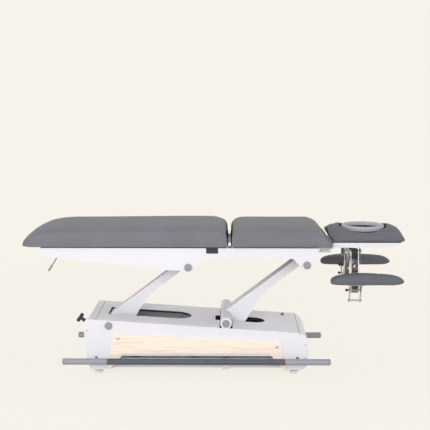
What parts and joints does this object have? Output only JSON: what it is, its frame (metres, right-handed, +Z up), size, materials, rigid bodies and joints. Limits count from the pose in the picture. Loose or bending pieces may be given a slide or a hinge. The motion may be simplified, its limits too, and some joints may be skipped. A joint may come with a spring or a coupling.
{
  "type": "chiropractic table",
  "caption": "Height-adjustable chiropractic table with a leg cushion, torso cushion, tilting head section with face ring, swinging armrests and foot bars.",
  "frame": {"origin": "on the floor, midway along the table and in its long middle plane; the two armrests are swung out by different amounts, so the bounding box reaches about 20 mm further to +Y", "axes": "+X along the table towards the head end, +Y to the far side as pictured, +Z up"},
  "size_m": [2.011, 0.6933, 0.787],
  "materials": {
    "frame_paint": "satin",
    "cover_paint": "satin",
    "ash": "satin",
    "grey_plastic": "satin",
    "steel": "satin",
    "chrome": "gloss",
    "dark_plastic": "matte",
    "black_plastic": "matte",
    "brown_plastic": "satin",
    "board": "matte",
    "upholstery": "satin",
    "light_upholstery": "satin",
    "navy": "satin",
    "bar_grey": "satin",
    "bar_dark": "matte"
  },
  "bodies": {
    "base": {"base_chassis": "frame_paint", "base_side_near": "frame_paint", "base_side_far": "frame_paint", "base_top_cover": "cover_paint", "end_cover_foot": "cover_paint", "end_cover_head": "cover_paint", "wood_panel_near": "ash", "wood_panel_far": "ash", "panel_screws": "grey_plastic", "levelling_feet": "grey_plastic", "lower_axles": "steel", "base_pivot_caps": "grey_plastic", "lift_motor": "dark_plastic", "control_box": "black_plastic", "bar_bearings": "black_plastic", "bar_switches": "dark_plastic", "cover_socket": "brown_plastic"},
    "lift_arm_right": {"right_arm": "frame_paint"},
    "lift_arm_left": {"left_arm": "frame_paint"},
    "actuator_rod": {"lift_rod": "steel"},
    "upper_frame": {"frame_side_near": "frame_paint", "frame_side_far": "frame_paint", "frame_crossmembers": "frame_paint", "upper_axles": "steel", "frame_pivot_caps": "grey_plastic", "torso_board": "board", "torso_cushion": "upholstery", "name_badge": "navy", "leg_hinge_pins": "steel"},
    "leg_section": {"leg_frame": "frame_paint", "leg_board": "board", "leg_cushion": "upholstery"},
    "release_lever": {"release_lever": "dark_plastic"},
    "head_section": {"head_tray": "frame_paint", "head_cushion": "upholstery", "face_ring": "light_upholstery", "head_hinge_pins": "steel", "armrest_bracket_near": "chrome", "armrest_bracket_far": "chrome"},
    "near_upper_link": {"upper_link_near": "chrome"},
    "near_lower_link": {"lower_link_near": "chrome"},
    "near_armrest": {"carrier_near": "chrome", "pad_near": "upholstery", "knob_near": "black_plastic"},
    "far_upper_link": {"upper_link_far": "chrome"},
    "far_lower_link": {"lower_link_far": "chrome"},
    "far_armrest": {"carrier_far": "chrome", "pad_far": "upholstery", "knob_far": "black_plastic"},
    "near_foot_bar": {"foot_bar_near": "bar_grey", "bar_sleeve_near": "bar_dark"},
    "far_foot_bar": {"foot_bar_far": "bar_grey", "bar_sleeve_far": "bar_dark"},
    "lock_handle": {"lock_handle": "black_plastic"}
  },
  "joints": [
    {"name": "lift", "type": "hinge", "parent": "base", "child": "lift_arm_right", "pos_m": [0.06837, 0, 0.2764], "axis": [0, -1, 0], "range_deg": [-32.9, 32]},
    {"name": "frame_level", "type": "hinge", "parent": "lift_arm_right", "child": "upper_frame", "pos_m": [0.4882, 0, 0.59162], "axis": [0, -1, 0], "range_deg": [-32.1, 33]},
    {"name": "left_arm_turn", "type": "hinge", "parent": "base", "child": "lift_arm_left", "pos_m": [-0.54883, 0, 0.2633], "axis": [0, -1, 0], "range_deg": [-33, 32.1]},
    {"name": "actuator_push", "type": "slide", "parent": "base", "child": "actuator_rod", "axis": [1, 0, 0], "range_m": [-0.0612, 0.0596]},
    {"name": "leg_tilt", "type": "hinge", "parent": "upper_frame", "child": "leg_section", "pos_m": [0.088, 0, 0.66702], "axis": [0, 1, 0], "range_deg": [0, 10]},
    {"name": "lever_squeeze", "type": "hinge", "parent": "leg_section", "child": "release_lever", "pos_m": [-0.816, -0.2, 0.62702], "axis": [0, 1, 0], "range_deg": [0, 15], "stiffness_Nm_per_rad": 0.6, "springref_deg": -14.32},
    {"name": "head_tilt", "type": "hinge", "parent": "upper_frame", "child": "head_section", "pos_m": [0.622, 0, 0.66802], "axis": [0, -1, 0], "range_deg": [-30, 12]},
    {"name": "near_armrest_swing", "type": "hinge", "parent": "head_section", "child": "near_upper_link", "pos_m": [0.75, -0.138, 0.64502], "axis": [-1, 0, 0], "range_deg": [-9, 50]},
    {"name": "near_armrest_level", "type": "hinge", "parent": "near_upper_link", "child": "near_armrest", "pos_m": [0.75, -0.18125, 0.44157], "axis": [-1, 0, 0], "range_deg": [-50.1, 9.1]},
    {"name": "near_lower_link_turn", "type": "hinge", "parent": "head_section", "child": "near_lower_link", "pos_m": [0.75, -0.126, 0.58802], "axis": [-1, 0, 0], "range_deg": [-9.1, 50.1]},
    {"name": "near_bar_press", "type": "hinge", "parent": "base", "child": "near_foot_bar", "pos_m": [-0.08473, -0.238, 0.085], "axis": [1, 0, 0], "range_deg": [-4, 4], "stiffness_Nm_per_rad": 60, "springref_deg": -1.83},
    {"name": "far_armrest_swing", "type": "hinge", "parent": "head_section", "child": "far_upper_link", "pos_m": [0.75, 0.138, 0.64502], "axis": [1, 0, 0], "range_deg": [-26.3, 32.7]},
    {"name": "far_armrest_level", "type": "hinge", "parent": "far_upper_link", "child": "far_armrest", "pos_m": [0.75, 0.23979, 0.46363], "axis": [1, 0, 0], "range_deg": [-32.8, 26.4]},
    {"name": "far_lower_link_turn", "type": "hinge", "parent": "head_section", "child": "far_lower_link", "pos_m": [0.75, 0.126, 0.58802], "axis": [1, 0, 0], "range_deg": [-26.4, 32.8]},
    {"name": "far_bar_press", "type": "hinge", "parent": "base", "child": "far_foot_bar", "pos_m": [-0.08473, 0.238, 0.085], "axis": [-1, 0, 0], "range_deg": [-4, 4], "stiffness_Nm_per_rad": 60, "springref_deg": -1.83},
    {"name": "lock_turn", "type": "hinge", "parent": "base", "child": "lock_handle", "pos_m": [-0.66868, -0.23, 0.27917], "axis": [-0.8231, 0, 0.5678], "range_deg": [0, 90]}
  ],
  "couplings": [
    {"joint": "frame_level", "follows": "lift", "ratio": -1},
    {"joint": "left_arm_turn", "follows": "lift", "ratio": 1},
    {"joint": "actuator_push", "follows": "lift", "m_per_rad": 0.1056},
    {"joint": "near_armrest_level", "follows": "near_armrest_swing", "ratio": -1},
    {"joint": "near_lower_link_turn", "follows": "near_armrest_swing", "ratio": 1},
    {"joint": "far_armrest_level", "follows": "far_armrest_swing", "ratio": -1},
    {"joint": "far_lower_link_turn", "follows": "far_armrest_swing", "ratio": 1}
  ]
}
